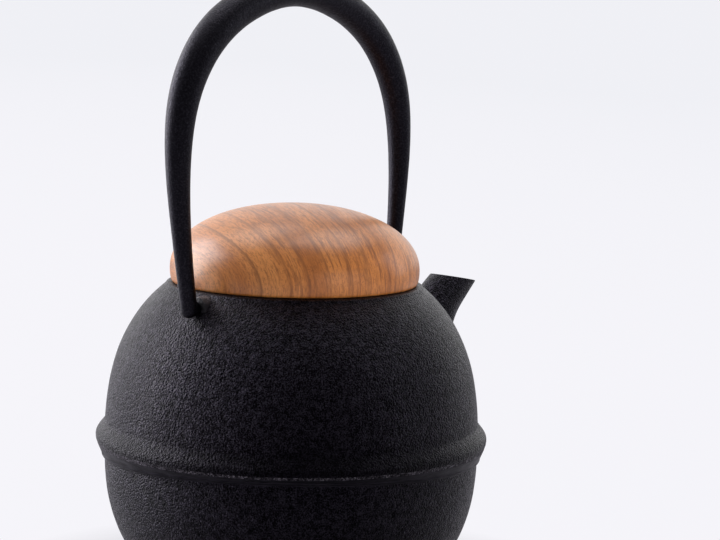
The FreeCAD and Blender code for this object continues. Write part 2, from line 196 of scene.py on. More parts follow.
# --- wood: the pith line lies level, beside the lid's left edge, at the height of the seam ----------------
PITH_TURN = math.radians(31.0)
PITH_OFFSET = 57.5 * MM
RING_REACH = 100.0                  # mm from the pith that the rings' ramp covers
RINGS = [(12.0, 0.7), (20.0, 0.7), (22.8, 0.65), (31.0, 1.0), (41.0, 0.75), (48.0, 0.75), (56.0, 0.75),
         (65.0, 0.85), (72.0, 0.8), (82.0, 0.65)]       # radius in mm and how dark its late wood is
RING_FADE, RING_EDGE = 2.2, 0.4     # mm from light to dark, and sharply back
RING_WANDER, WANDER_SCALE = 4.0 * MM, 14.0
ALONG_GRAIN = 0.08                  # how little the layers' pattern varies along the grain and upward
WOOD_ZONES, WOOD_LINES, WOOD_STROKES, WOOD_FIBRE, WOOD_PORES = 95.0, 820.0, 2200.0, 160.0, 1700.0
WOOD_TINTS = [(0.3, (0.46, 0.15, 0.03)), (0.5, (0.6, 0.215, 0.05)), (0.72, (0.7, 0.28, 0.078))]
LATE_WOOD, LINE_WOOD, STROKE_WOOD = (0.13, 0.04, 0.012), (0.2, 0.06, 0.016), (0.24, 0.075, 0.018)
FIBRE_WOOD, PORE_WOOD = (0.28, 0.09, 0.025), (0.16, 0.05, 0.018)
WOOD_SPECULAR = 0.8


# ======================================================================================================
# materials
# ======================================================================================================
class Shader:
    """A material whose nodes are added by short calls."""

    def __init__(self, name):
        self.material = bpy.data.materials.new(name)
        self.material.use_nodes = True
        self.tree = self.material.node_tree
        self.tree.nodes.clear()
        self.bsdf = self.node("ShaderNodeBsdfPrincipled")
        self.out = self.node("ShaderNodeOutputMaterial")
        self.link(self.bsdf.outputs[0], self.out.inputs["Surface"])
        self.place = self.node("ShaderNodeTexCoord").outputs["Object"]

    def node(self, kind, **settings):
        made = self.tree.nodes.new(kind)
        for key, value in settings.items():
            setattr(made, key, value)
        return made

    def link(self, source, target):
        self.tree.links.new(source, target)

    def put(self, target, value):
        """Links a socket, or sets a plain value."""
        if isinstance(value, bpy.types.NodeSocket):
            self.link(value, target)
        else:
            target.default_value = value

    def set(self, **values):
        """Links or sets the shader's sockets, named with _ for a space."""
        for key, value in values.items():
            self.put(self.bsdf.inputs[key.replace("_", " ")], value)

    def math(self, operation, a, b=0.0, clamp=False):
        made = self.node("ShaderNodeMath", operation=operation, use_clamp=clamp)
        self.put(made.inputs[0], a)
        self.put(made.inputs[1], b)
        return made.outputs[0]

    def split(self, source=None):
        """The X, Y and Z outputs of a place."""
        made = self.node("ShaderNodeSeparateXYZ")
        self.link(source or self.place, made.inputs[0])
        return made.outputs

    def mapped(self, scale=(1, 1, 1), rotation=(0, 0, 0), source=None):
        made = self.node("ShaderNodeMapping")
        self.link(source or self.place, made.inputs["Vector"])
        made.inputs["Scale"].default_value = scale
        made.inputs["Rotation"].default_value = rotation
        return made.outputs[0]

    def noise(self, scale, detail=3.0, roughness=0.5, source=None):
        made = self.node("ShaderNodeTexNoise")
        self.link(source or self.place, made.inputs["Vector"])
        made.inputs["Scale"].default_value = scale
        made.inputs["Detail"].default_value = detail
        made.inputs["Roughness"].default_value = roughness
        return made.outputs["Fac"]

    def cells(self, scale):
        """Distance to the nearest of scattered points."""
        made = self.node("ShaderNodeTexVoronoi")
        self.link(self.place, made.inputs["Vector"])
        made.inputs["Scale"].default_value = scale
        return made.outputs["Distance"]

    def ramp(self, value, stops):
        """Colours or greys at positions along a value."""
        made = self.node("ShaderNodeValToRGB")
        self.link(value, made.inputs[0])
        band = made.color_ramp
        while len(band.elements) < len(stops):
            band.elements.new(0.5)
        for element, (position, colour) in zip(band.elements, stops):
            element.position = position
            element.color = (colour,) * 3 + (1,) if isinstance(colour, float) else tuple(colour) + (1,)
        return made.outputs[0]

    def span(self, value, low, high, to_low=0.0, to_high=1.0):
        """A value's range from low to high carried over to another range, and clamped there."""
        made = self.node("ShaderNodeMapRange")
        self.link(value, made.inputs[0])
        for index, number in enumerate((low, high, to_low, to_high), 1):
            made.inputs[index].default_value = number
        return made.outputs[0]

    def mix(self, share, a, b):
        """Colour a, turning into b as the share goes to 1."""
        made = self.node("ShaderNodeMix", data_type="RGBA")
        self.put(made.inputs[0], share)
        self.put(made.inputs[6], a if isinstance(a, bpy.types.NodeSocket) else tuple(a) + (1,))
        self.put(made.inputs[7], b if isinstance(b, bpy.types.NodeSocket) else tuple(b) + (1,))
        return made.outputs[2]

    def bump(self, height, distance, strength=1.0, under=None):
        made = self.node("ShaderNodeBump")
        self.link(height, made.inputs["Height"])
        made.inputs["Distance"].default_value = distance
        made.inputs["Strength"].default_value = strength
        if under is not None:
            self.link(under, made.inputs["Normal"])
        return made.outputs[0]


def cast_iron():
    """Matt black iron with a fine grained casting skin that glints here and there; on the rib's crest the
    glints are dimmed as painted shade.
    """
    s = Shader("cast_iron_black")
    grains = s.math("SUBTRACT", 1.0, s.cells(IRON_GRAINS))
    sand = s.noise(IRON_SAND, 2.0, 0.6)
    clumps = s.noise(IRON_CLUMPS, 2.0, 0.6)
    glint = s.math("ADD", s.math("MULTIPLY", sand, SAND_SHARE), s.math("MULTIPLY", clumps, 1 - SAND_SHARE))
    level = s.split()["Z"]
    over_band = s.math("GREATER_THAN", level, BAND_Z)
    # painted shade: from a little above the rib's top down to its widest, the crest's glints are dimmed
    crest = s.math("MULTIPLY", s.span(level, RIB_TOP + CREST_FADE, RIB_Z), over_band)
    normal = s.bump(clumps, 0.5 * MM, 0.8)
    normal = s.bump(grains, 0.5 * MM, 1.0, normal)
    normal = s.bump(sand, 0.5 * MM, 1.0, normal)
    tint = s.ramp(s.noise(IRON_DRIFT, 4.0, 0.6), IRON_TINTS)
    speck = s.math("MULTIPLY", s.span(glint, 0.45, 0.6), s.span(crest, 0.0, 1.0, 1.0, CREST_GLINT_UNDER_PAINTED_SHADE))
    s.set(Metallic=1.0, Base_Color=s.mix(speck, tint, IRON_GLINT))
    s.set(Roughness=s.span(glint, 0.42, 0.6, 0.46, 0.3), Normal=normal)
    return s.material


def painted_highlight_iron(name, metallic, lowest=0.0):
    """Iron painted bright above a level as a highlight, with small pits between the glints."""
    s = Shader(name)
    highlight_reach = s.span(s.split()["Z"], lowest, lowest + HIGHLIGHT_FADE)
    pits = s.noise(HIGHLIGHT_PITS, 2.0, 0.6)
    patches = s.noise(HIGHLIGHT_PATCHES, 3.0, 0.6)
    # painted highlight: the pale patches, only above the given level
    bright = s.math("MULTIPLY", s.span(pits, 0.42, 0.62), s.span(patches, 0.36, 0.6, 0.25, 1.0))
    bright = s.math("MULTIPLY", bright, highlight_reach)
    s.set(Metallic=metallic, Base_Color=s.mix(bright, HIGHLIGHT_BASE_COLOUR, PAINTED_HIGHLIGHT_COLOUR))
    s.set(Roughness=s.span(bright, 0.0, 1.0, 0.6, 0.36), Normal=s.bump(pits, 0.4 * MM, 1.0))
    return s.material


def band_iron():
    """The rib's band: the same iron, worn smoother and a little lighter, with faint marks along it."""
    s = Shader("cast_iron_band")
    marks = s.noise(BAND_MARKS, 3.0, 0.6, s.mapped(scale=(0.5, 0.5, 3.0)))
    fine = s.noise(BAND_GRAIN, 2.0, 0.5)
    s.set(Metallic=1.0, Base_Color=s.ramp(marks, BAND_TINTS), Roughness=s.span(marks, 0.3, 0.7, 0.5, 0.38))
    s.set(Normal=s.bump(fine, 0.06 * MM, 0.6, s.bump(marks, 0.12 * MM, 0.7)))
    return s.material


def iron_inside():
    """Greyer, smoother skin inside the pot."""
    s = Shader("iron_inside_grey")
    sand = s.noise(INSIDE_GRAIN, 3.0, 0.6)
    s.set(Base_Color=s.ramp(s.noise(INSIDE_DRIFT, 4.0, 0.6), INSIDE_TINTS))
    s.set(Roughness=s.span(sand, 0.3, 0.7, 0.35, 0.5), Normal=s.bump(sand, 0.08 * MM, 0.6))
    return s.material


def bar_coating():
    """Fine satin-black coating on the forged handle."""
    s = Shader("handle_black_coating")
    grain = s.noise(COATING_GRAIN, 2.0, 0.6)
    swell = s.noise(COATING_SWELL, 2.0, 0.5)
    s.set(Metallic=1.0, Base_Color=s.ramp(grain, COATING_TINTS))
    s.set(Roughness=s.span(grain, 0.3, 0.7, 0.52, 0.42))
    s.set(Normal=s.bump(grain, 0.2 * MM, 1.0, s.bump(swell, 0.14 * MM, 0.6)))
    return s.material


def turned_wood():
    """Oiled medium-brown wood: curved growth rings with dark late wood, long fibres and small pores."""
    s = Shader("wood_oiled_brown")
    along = s.mapped(rotation=(0, 0, PITH_TURN))
    place = s.split(along)
    uneven = s.noise(WANDER_SCALE, 2.0, 0.5, s.mapped(scale=(1, 0.35, 1), source=along))
    wander = s.math("MULTIPLY", s.math("SUBTRACT", uneven, 0.5), RING_WANDER)
    across = s.math("ADD", s.math("ADD", place["X"], PITH_OFFSET), wander)
    height = s.math("SUBTRACT", place["Z"], SEAM)
    square = s.math("ADD", s.math("MULTIPLY", across, across), s.math("MULTIPLY", height, height))
    radius = s.math("SQRT", square)
    growth = s.node("ShaderNodeCombineXYZ")
    s.link(radius, growth.inputs["X"])
    s.link(s.math("MULTIPLY", place["Y"], ALONG_GRAIN), growth.inputs["Y"])
    s.link(s.math("MULTIPLY", height, ALONG_GRAIN), growth.inputs["Z"])
    layers = growth.outputs[0]
    zones = s.noise(WOOD_ZONES, 2.0, 0.5, layers)
    lines = s.noise(WOOD_LINES, 2.0, 0.6, layers)
    strokes = s.noise(WOOD_STROKES, 2.0, 0.65, s.mapped(scale=(1.0, 2.2, 2.2), source=layers))
    fibre = s.noise(WOOD_FIBRE, 4.0, 0.6, s.mapped(scale=(6.0, 0.22, 6.0), source=along))
    pores = s.noise(WOOD_PORES, 1.0, 0.5, s.mapped(scale=(1.0, 0.14, 1.0), source=along))
    stops = [(at / RING_REACH, dark) for ring, depth in RINGS
             for at, dark in ((ring - RING_FADE, 0.0), (ring, depth), (ring + RING_EDGE, 0.0))]
    late = s.math("POWER", s.ramp(s.math("DIVIDE", radius, RING_REACH * MM), sorted(stops)), 2.0)
    dense = s.span(radius, 32.0 * MM, 44.0 * MM, 0.35, 1.0)
    colour = s.ramp(zones, WOOD_TINTS)
    colour = s.mix(s.math("MULTIPLY", late, s.span(zones, 0.3, 0.6, 1.0, 0.8)), colour, LATE_WOOD)
    colour = s.mix(s.math("MULTIPLY", s.span(lines, 0.5, 0.68, 0.0, 0.75), dense), colour, LINE_WOOD)
    colour = s.mix(s.math("MULTIPLY", s.span(strokes, 0.48, 0.66), 0.6), colour, STROKE_WOOD)
    colour = s.mix(s.math("MULTIPLY", s.span(fibre, 0.45, 0.75), 0.25), colour, FIBRE_WOOD)
    colour = s.mix(s.math("MULTIPLY", s.span(pores, 0.6, 0.72), 0.4), colour, PORE_WOOD)
    normal = s.bump(pores, 0.04 * MM, -0.4, s.bump(fibre, 0.05 * MM, 0.35))
    s.set(Base_Color=colour, Roughness=s.span(fibre, 0.3, 0.7, 0.3, 0.4), Normal=normal)
    s.set(Specular_IOR_Level=WOOD_SPECULAR)
    return s.material


def brushed_steel(name, axis_scale):
    """Stainless sheet with fine brush lines."""
    s = Shader(name)
    brush = s.noise(STEEL_BRUSH, 3.0, 0.6, s.mapped(scale=axis_scale))
    cloud = s.noise(STEEL_CLOUD, 3.0, 0.5)
    s.set(Base_Color=s.ramp(cloud, STEEL_TINTS), Metallic=1.0, Roughness=s.span(brush, 0.3, 0.7, 0.24, 0.38))
    s.set(Normal=s.bump(brush, 0.02 * MM, 0.4))
    return s.material


def silicone():
    """Milky silicone with a slight bloom."""
    s = Shader("silicone_milky")
    bloom = s.noise(SILICONE_BLOOM, 3.0, 0.5)
    s.set(Base_Color=s.ramp(bloom, SILICONE_TINTS), Roughness=s.span(bloom, 0.3, 0.7, 0.42, 0.55))
    s.set(Normal=s.bump(bloom, 0.03 * MM, 0.3))
    s.set(Subsurface_Weight=SILICONE_SHARE, Subsurface_Scale=SILICONE_DEPTH)
    return s.material


# ======================================================================================================
# mesh helpers
# ======================================================================================================
def make_object(name, vertices, faces, material, smooth=True):
    """A mesh in the scene, with one finish."""
    mesh = bpy.data.meshes.new(name)
    mesh.from_pydata([tuple(v) for v in vertices], [], faces)
    mesh.update()
    piece = bpy.data.objects.new(name, mesh)
    bpy.context.scene.collection.objects.link(piece)
    mesh.materials.append(material)
    if smooth:
        mesh.polygons.foreach_set("use_smooth", [True] * len(mesh.polygons))
    return piece


def attach(piece, body, slot, *nodes):
    """Makes a piece ride its body and stand for CAD nodes, hiding them. The slot is not used."""
    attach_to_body(piece, body)
    if nodes:
        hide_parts(*nodes)


def revolve(name, outline, turns, material, shift=None):
    """Turns an outline that starts and ends on the axis. shift(point, outward, row) moves each vertex."""
    outline = np.array(outline)
    tangent = np.gradient(outline, axis=0)
    tangent /= np.linalg.norm(tangent, axis=1)[:, None] + 1e-12
    outward = np.stack([-tangent[:, 1], tangent[:, 0]], axis=1)
    vertices, faces = [Vector((0, 0, outline[0][1]))], []
    for row in range(1, len(outline) - 1):
        (r, z), (out, up) = outline[row], outward[row]
        for turn in range(turns):
            angle = 2 * math.pi * turn / turns
            c, s = math.cos(angle), math.sin(angle)
            point = Vector((r * c, r * s, z))
            if shift is not None:
                point = shift(point, Vector((out * c, out * s, up)), row)
            vertices.append(point)
    vertices.append(Vector((0, 0, outline[-1][1])))
    last = len(vertices) - 1
    rows = len(outline) - 2
    for turn in range(turns):
        after = (turn + 1) % turns
        faces.append((0, 1 + turn, 1 + after))
        for row in range(rows - 1):
            a, b = 1 + row * turns, 1 + (row + 1) * turns
            faces.append((a + turn, b + turn, b + after, a + after))
        base = 1 + (rows - 1) * turns
        faces.append((base + turn, last, base + after))
    return make_object(name, vertices, faces, material)


def apply_modifiers(piece):
    """Bakes a piece's modifiers into its mesh."""
    graph = bpy.context.evaluated_depsgraph_get()
    mesh = bpy.data.meshes.new_from_object(piece.evaluated_get(graph))
    piece.modifiers.clear()
    piece.data = mesh


def boolean(piece, cutter, operation="DIFFERENCE"):
    """Joins a helper to a piece, or cuts it away, and deletes the helper."""
    step = piece.modifiers.new("boolean", "BOOLEAN")
    step.operation = operation
    step.object = cutter
    step.solver = "EXACT"
    apply_modifiers(piece)
    bpy.data.objects.remove(cutter)


def bearings(count):
    """Evenly spaced angles once round."""
    return [2 * math.pi * i / count for i in range(count)]


def ring_faces(rings, around, closed=False):
    """Faces between rings of vertices: closed into a loop, or with a cap at both ends."""
    faces = []
    for row in range(rings if closed else rings - 1):
        a, b = row * around, (row + 1) % rings * around
        for i in range(around):
            j = (i + 1) % around
            faces.append((a + i, a + j, b + j, b + i))
    if not closed:
        faces += [tuple(range(around))[::-1], tuple(range((rings - 1) * around, rings * around))]
    return faces


def cylinder_x(name, radius, x_from, x_to, z, material, sides=48):
    """Closed round bar along X."""
    vertices = [(x, radius * math.cos(angle), z + radius * math.sin(angle))
                for x in (x_from, x_to) for angle in bearings(sides)]
    piece = make_object(name, vertices, ring_faces(2, sides), material)
    tidy_normals(piece)
    return piece


def tidy_normals(piece):
    """Turns all faces outward."""
    work = bmesh.new()
    work.from_mesh(piece.data)
    bmesh.ops.recalc_face_normals(work, faces=work.faces)
    work.to_mesh(piece.data)
    work.free()


def grit(point, size, seed):
    """Noise from 0 to 1 with features of the given size."""
    return 0.5 + 0.5 * noise.noise(point / size + Vector((seed, seed * 1.7, -seed)))


# ======================================================================================================
# pot
# ======================================================================================================
def superellipse(z, centre, radius, height, power):
    """Radius at a level of a rounded profile, fuller than an ellipse where the power is over 2."""
    return radius * (1.0 - (abs(z - centre) / height) ** power) ** (1.0 / power)


def shoulder(z, inset=0.0):
    """Radius of the body's upper part at a level, or of the surface this far inside it."""
    return superellipse(z, UPPER_Z, UPPER_RADIUS - inset, UPPER_HEIGHT - inset, UPPER_POWER)


def bowl(z, inset=0.0):
    """The same for the body's lower part."""
    return superellipse(z, LOWER_Z, LOWER_RADIUS - inset, LOWER_HEIGHT - inset, LOWER_POWER)


def levels(start, end, count):
    """Evenly spaced numbers, both ends included."""
    return [start + (end - start) * i / (count - 1) for i in range(count)]


def straight(a, b, count):
    """Points from a towards b, without b."""
    return [(a[0] + (b[0] - a[0]) * i / count, a[1] + (b[1] - a[1]) * i / count) for i in range(count)]


def pot_outline():
    """(radius, level, skin) from the inside bottom, over the mouth and down to the foot."""
    points = []

    def add(stretch, skin):
        points.extend((r, z, skin) for r, z in stretch)

    low = FLOOR_Z + WALL
    add([(0.0, FLOOR_Z)] + straight((2 * MM, FLOOR_Z), (bowl(low, WALL) - WALL, FLOOR_Z), 6), 0.0)
    add([(bowl(z, WALL), z) for z in levels(low, RIB_Z - WALL, 14)], INNER_SKIN)
    add([(shoulder(z, WALL), z) for z in levels(RIB_Z, COLLAR_Z, 16)], INNER_SKIN)
    add(straight((MOUTH_RADIUS, COLLAR_Z), (MOUTH_RADIUS, LEDGE_Z), 4), 0.0)
    add([(MOUTH_RADIUS, LEDGE_Z), (MOUTH_RADIUS + 0.3 * MM, LEDGE_Z)], 0.0)
    add([(LEDGE_RADIUS - 0.3 * MM, LEDGE_Z), (LEDGE_RADIUS, LEDGE_Z)], 0.0)
    add([(LEDGE_RADIUS, LEDGE_Z + 0.3 * MM)], 0.0)
    add([(LEDGE_RADIUS, SEAM - 0.4 * MM), (LEDGE_RADIUS + 0.4 * MM, SEAM)], 0.0)
    rim = shoulder(SEAM - 1.1 * MM)
    add([(rim - 2.4 * MM, SEAM), (rim - 1.2 * MM, SEAM - 0.1 * MM)], RIM_SKIN)
    add([(rim - 0.4 * MM, SEAM - 0.5 * MM)], RIM_SKIN)
    add([(shoulder(z), z) for z in levels(SEAM - 1.1 * MM, RIB_TOP + 1.2 * MM, 84)], SKIN)
    top = shoulder(RIB_TOP)
    add([(top + (CREST_RADIUS - top) * math.sin(math.pi / 2 * t) ** RIB_ROUND,
          RIB_TOP + (RIB_Z - RIB_TOP) * t) for t in levels(0.0, 1.0, 16)], SKIN)
    add([(CREST_RADIUS - 0.04 * MM, RIB_Z - 0.7 * MM)], SKIN)
    edge = CREST_RADIUS - 0.5 * MM
    # the rib's lower edge, which carries a bright ragged painted highlight
    add([(CREST_RADIUS - 0.2 * MM, RIB_Z - 1.4 * MM), (edge, BAND_Z)], HIGHLIGHT_EDGE_SKIN)
    add([(edge - 0.3 * MM, BAND_Z - 0.35 * MM)], HIGHLIGHT_EDGE_SKIN)
    low, high = LIP_Z + 0.5 * MM, BAND_Z - 0.7 * MM
    add([(edge - 0.35 * MM + (LIP_RADIUS - edge + 0.3 * MM) * t, high + (low - high) * t)
         for t in levels(0, 1, 8)], BAND_SKIN)
    add([(LIP_RADIUS, LIP_Z + 0.2 * MM), (LIP_RADIUS - 0.15 * MM, LIP_Z)], BAND_SKIN)
    add([(LIP_RADIUS - 0.8 * MM, LIP_Z - 0.3 * MM)], BAND_SKIN)
    add([(bowl(z), z) for z in levels(LIP_Z - LIP_STEP, FOOT_BEVEL, 58)], BOWL_SKIN)
    add([(FOOT_RADIUS, 0.0)] + straight((FOOT_RADIUS - 1.0 * MM, 0.0), (2 * MM, 0.0), 7) + [(0.0, 0.0)], 0.0)
    return points


def lip_level(point):
    """How far the rib's lip lies above its mean level at a point's bearing, fading out away from it."""
    swing = LIP_SWING * math.cos(2 * (math.atan2(point.y, point.x) - math.radians(LIP_BEARING)))
    wave = LIP_RIPPLE * (grit(Vector((point.x, point.y, 0)), LIP_RIPPLE_SIZE, RIPPLE_SEED) - 0.5)
    above = (BAND_Z - point.z) / (BAND_Z - LIP_Z)
    below = 1.0 - (LIP_Z - point.z) / LIP_FADE
    return (swing + wave) * max(0.0, min(1.0, above, below))


def pot_shell(iron, inside, smooth, highlit_edge_iron):
    """The casting: grained skin, proud rib with a painted highlight along its edge and a smooth band over
    its wavy lip, and the hollow inside.
    """
    outline = pot_outline()

    def skin(point, outward, row):
        dimple = DIMPLE_DEPTH * grit(point, DIMPLE_SIZE, DIMPLE_SEED)
        depth = outline[row][2] * (dimple + SWELL_DEPTH * grit(point, SWELL_SIZE, SWELL_SEED))
        if outward.z < FACES_UP:
            if abs(point.z - BAND_Z) < RAGGED_REACH:
                ripple = grit(Vector((point.x, point.y, 0)), RAGGED_SIZE, RAGGED_SEED)
                point.z += RAGGED_DEPTH * (ripple - 0.5)
            point.z += lip_level(point)
        return point - outward * depth

    piece = revolve("pot_casting", [(r, z) for r, z, _ in outline], TURNS, iron, skin)
    for material in (inside, smooth, highlit_edge_iron):
        piece.data.materials.append(material)
    slots = {BAND_SKIN: 2, HIGHLIGHT_EDGE_SKIN: 3}
    skins = [point[2] for point in outline]
    mouth = skins.index(RIM_SKIN)
    for face in piece.data.polygons:
        row = max(0, (min(face.vertices) - 1) // TURNS + 1)
        face.material_index = 1 if row < mouth else slots.get(skins[row], 0)
    return piece


# ======================================================================================================
# spout
# ======================================================================================================
def section_at(sections, t):
    """Smoothly interpolated spout section; t runs from 0 to the number of sections minus 1."""
    table = np.array(sections)
    i = min(int(t), len(sections) - 2)
    f = t - i
    before, after = max(i - 1, 0), min(i + 2, len(sections) - 1)
    a, b, c, d = table[before], table[i], table[i + 1], table[after]
    square, cube = 2 * a - 5 * b + 4 * c - d, 3 * b - a - 3 * c + d
    return 0.5 * (2 * b + (c - a) * f + square * f ** 2 + cube * f ** 3)


def spout_point(sections, t, angle, grow=0.0):
    """Point at an angle round the section at t, grown outward by some mm."""
    x, z, rise, high, wide = section_at(sections, t)
    lean = math.radians(rise)
    up = Vector((-math.sin(lean), 0, math.cos(lean)))
    offset = up * (high + grow) * math.cos(angle) + Vector((0, 1, 0)) * (wide + grow) * math.sin(angle)
    return Vector((x * MM, 0, SEAM + z * MM)) + offset * MM


def root_t(sections, angle, inset):
    """Where a line along the spout comes out of the pot's wall."""
    low, high = 0.0, ROOT_SEARCH
    for _ in range(ROOT_STEPS):
        t = (low + high) / 2
        p = spout_point(sections, t, angle)
        if math.hypot(p.x, p.y) < shoulder(p.z) - inset:
            low = t
        else:
            high = t
    return (low + high) / 2


def spout_casting(iron):
    """Curved spout with a flared root, a rounded lip and an open bore."""
    around, rows, inner_rows = 96, 64, 24
    top = len(SPOUT_OUTER) - 1
    angles = bearings(around)
    roots = [root_t(SPOUT_OUTER, a, ROOT_DEPTH) for a in angles]
    bore_roots = [root_t(SPOUT_BORE, a, ROOT_DEPTH) for a in angles]

    def fillet(t, root):
        """How far the root flares where it leaves the wall, in mm."""
        return FILLET * max(0.0, 1.0 - (t - root) / FILLET_REACH) ** FILLET_POWER

    end = top - LIP_SETBACK
    vertices = [spout_point(SPOUT_OUTER, t + (end - t) * share, a, fillet(t + (top - t) * share, t))
                for share in levels(0.0, 1.0, rows) for a, t in zip(angles, roots)]
    for index, point in enumerate(vertices):
        aside = Vector((0, point.y, 0)).normalized()
        vertices[index] = point - aside * DIMPLE_DEPTH * grit(point, DIMPLE_SIZE, DIMPLE_SEED)
    vertices += [spout_point(SPOUT_OUTER, top, a, grow) for grow in LIP_ROUND for a in angles]
    vertices += [spout_point(SPOUT_BORE, top, a, LIP_BORE_FLARE) for a in angles]
    vertices += [spout_point(SPOUT_BORE, t + (top - BORE_SETBACK - t) * share, a)
                 for share in levels(1.0, 0.0, inner_rows) for a, t in zip(angles, bore_roots)]
    faces = ring_faces(len(vertices) // around, around, closed=True)
    piece = make_object("spout_casting", vertices, faces, iron)
    tidy_normals(piece)
    return piece


def bore_cutter(iron):
    """Solid of the spout's bore through the pot's wall."""
    around, rows = 64, 12
    vertices = [spout_point(SPOUT_BORE, t, a) for t in levels(0.0, BORE_CUT, rows) for a in bearings(around)]
    piece = make_object("bore_cutter", vertices, ring_faces(rows, around), iron)
    tidy_normals(piece)
    return piece


# ======================================================================================================
# handle and lugs
# ======================================================================================================
def cubic_through(points):
    """Natural cubic spline through points, as a function of a parameter from 0 to 1."""
    points = np.array(points)
    reach = np.concatenate([[0], np.cumsum(np.linalg.norm(np.diff(points, axis=0), axis=1))])
    count = len(points)
    system, right = np.zeros((count, count)), np.zeros((count, 2))
    step = np.diff(reach)
    system[0, 0] = system[-1, -1] = 1
    for i in range(1, count - 1):
        system[i, i - 1:i + 2] = step[i - 1], 2 * (step[i - 1] + step[i]), step[i]
        right[i] = 6 * ((points[i + 1] - points[i]) / step[i] - (points[i] - points[i - 1]) / step[i - 1])
    bend = np.linalg.solve(system, right)

    def at(share):
        s = share * reach[-1]
        i = min(max(int(np.searchsorted(reach, s)) - 1, 0), count - 2)
        h, a, b = step[i], (reach[i + 1] - s) / step[i], (s - reach[i]) / step[i]
        curve = ((a ** 3 - a) * bend[i] + (b ** 3 - b) * bend[i + 1]) * h * h / 6
        return a * points[i] + b * points[i + 1] + curve

    return at


def bar_radius(share):
    """Bar radius from the rear foot (-1) over the middle (0) to the front foot (1)."""
    fall = max(0.0, (abs(share) - TAPER_START) / (1 - TAPER_START))
    radius = BAR_TOP - (BAR_TOP - BAR_FOOT) * (1 - math.cos(math.pi * fall)) / 2
    return radius * (1 + REAR_FULLER * min(1.0, max(0.0, -share / REAR_ONSET)))


def handle_bar(coating):
    """Forged bar: one tapered tube with rounded ends and the two turned-in pins joined on."""
    half = [(x * MM, SEAM + z * MM) for x, z in HANDLE_LINE]
    at = cubic_through([(-x, z) for x, z in half[:0:-1]] + half)
    around, stations, cap_rows, nudge = 48, 420, 8, 1e-4
    rings = []
    for i in range(stations + 1):
        share = i / stations
        here, ahead, behind = at(share), at(min(share + nudge, 1)), at(max(share - nudge, 0))
        direction = (ahead - behind) / np.linalg.norm(ahead - behind)
        rings.append((here, direction, bar_radius(2 * share - 1)))

    def cap(ring, sign):
        here, direction, radius = ring
        turns = [math.pi / 2 * k / cap_rows for k in range(1, cap_rows)]
        return [(here + sign * direction * radius * math.sin(t), direction, radius * math.cos(t))
                for t in turns]

    rings = cap(rings[0], -1)[::-1] + rings + cap(rings[-1], 1)
    vertices = []
    for here, direction, radius in rings:
        side = np.array([-direction[1], direction[0]])
        for angle in bearings(around):
            flat = here + side * radius * math.cos(angle)
            point = Vector((flat[0], radius * math.sin(angle), flat[1]))
            inward = Vector((here[0], 0, here[1])) - point
            hammered = (FORGE_DEPTH * grit(point, FORGE_SIZE, FORGE_SEED)
                        + PEEN_DEPTH * grit(point, PEEN_SIZE, PEEN_SEED))
            vertices.append(point + inward.normalized() * hammered)
    piece = make_object("handle_bar", vertices, ring_faces(len(rings), around), coating)
    tidy_normals(piece)
    for side in (-1, 1):
        pin = cylinder_x("pin", PIN_RADIUS, side * PIN_END_X, side * FOOT_X, PIVOT_Z, coating)
        boolean(piece, pin, "UNION")
    pivot = Matrix.Translation((0, 0, PIVOT_Z))
    lean = Matrix.Rotation(math.radians(-HANDLE_LEAN), 4, "X")
    piece.data.transform(pivot @ lean @ pivot.inverted())
    return piece


def lug_casting(name, side, iron):
    """Small rounded boss on the shoulder, with the pin's hole through it."""
    steps = 24
    half_turn = [math.pi * i / steps for i in range(steps + 1)]
    arch = [(LUG_RADIUS * math.cos(t), LUG_RADIUS * math.sin(t)) for t in half_turn]
    arch = [(LUG_RADIUS + LUG_FLARE, -LUG_DROP)] + arch + [(-LUG_RADIUS - LUG_FLARE, -LUG_DROP)]
    vertices = [(side * x, y, PIVOT_Z + z) for x in (LUG_INNER, LUG_OUTER) for y, z in arch]
    piece = make_object(name, vertices, ring_faces(2, len(arch)), iron)
    tidy_normals(piece)
    remesh = piece.modifiers.new("remesh", "REMESH")
    remesh.mode = "VOXEL"
    remesh.voxel_size = LUG_VOXEL
    remesh.use_smooth_shade = True
    soften = piece.modifiers.new("soften", "SMOOTH")
    soften.factor, soften.iterations = 0.5, 8
    apply_modifiers(piece)
    for vertex in piece.data.vertices:
        vertex.co -= vertex.normal * LUG_GRIT_DEPTH * grit(vertex.co, LUG_GRIT_SIZE, LUG_SEED)
    ends = side * (LUG_INNER - CUTTER_REACH), side * (LUG_OUTER + CUTTER_REACH)
    boolean(piece, cylinder_x("hole", PIN_RADIUS + PIN_GAP, *ends, PIVOT_Z, iron))
    return piece


